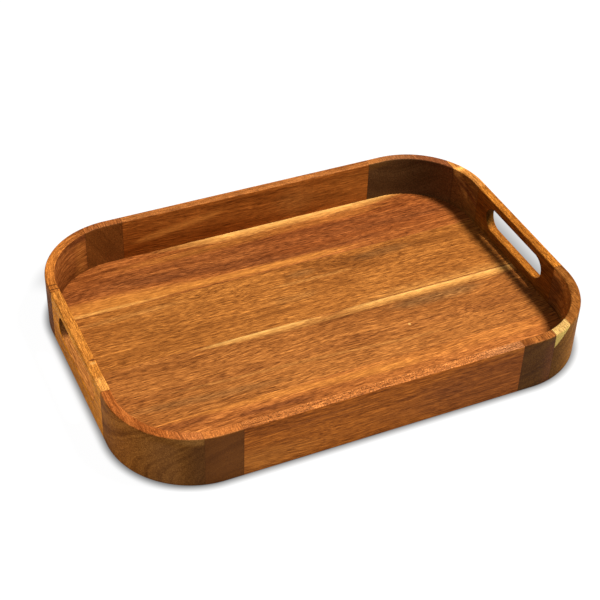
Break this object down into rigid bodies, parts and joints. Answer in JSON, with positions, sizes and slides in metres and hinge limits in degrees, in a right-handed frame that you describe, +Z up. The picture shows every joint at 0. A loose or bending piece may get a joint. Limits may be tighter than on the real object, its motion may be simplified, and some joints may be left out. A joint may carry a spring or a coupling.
{
  "type": "serving tray",
  "caption": "Rectangular wooden serving tray with rounded corners, an upright glued wall, a four-board floor and a finger slot through each short side.",
  "frame": {"origin": "middle of the tray's footprint, on the surface that it stands on", "axes": "+X along the tray from one finger slot to the other, +Y across it, +Z up"},
  "size_m": [0.43, 0.298, 0.051],
  "materials": {
    "rail_wood": "oiled acacia, satin",
    "red_brown_wood": "oiled acacia, satin",
    "golden_wood": "oiled acacia, satin",
    "dark_wood": "oiled acacia heartwood, satin",
    "olive_wood": "oiled acacia end grain, satin",
    "floor_wood": "oiled acacia, satin",
    "dowel_wood": "bare hardwood dowel"
  },
  "bodies": {
    "root": {"front_rail": "rail_wood", "back_rail": "red_brown_wood", "left_rail": "golden_wood", "right_rail": "golden_wood", "front_left_stave": "dark_wood", "front_left_corner": "olive_wood", "front_right_stave": "dark_wood", "front_right_corner": "olive_wood", "back_left_stave": "dark_wood", "back_left_corner": "red_brown_wood", "back_right_corner": "dark_wood", "back_right_stave": "rail_wood", "floor_board_front": "floor_wood", "floor_board_mid_front": "floor_wood", "floor_board_mid_back": "floor_wood", "floor_board_back": "red_brown_wood", "dowel_front_left_long_lower": "dowel_wood", "dowel_front_left_long_upper": "dowel_wood", "dowel_front_left_short_lower": "dowel_wood", "dowel_front_left_short_upper": "dowel_wood", "dowel_front_right_long_lower": "dowel_wood", "dowel_front_right_long_upper": "dowel_wood", "dowel_front_right_short_lower": "dowel_wood", "dowel_front_right_short_upper": "dowel_wood", "dowel_back_left_long_lower": "dowel_wood", "dowel_back_left_long_upper": "dowel_wood", "dowel_back_left_short_lower": "dowel_wood", "dowel_back_left_short_upper": "dowel_wood", "dowel_back_right_long_lower": "dowel_wood", "dowel_back_right_long_upper": "dowel_wood", "dowel_back_right_short_lower": "dowel_wood", "dowel_back_right_short_upper": "dowel_wood"}
  },
  "joints": []
}
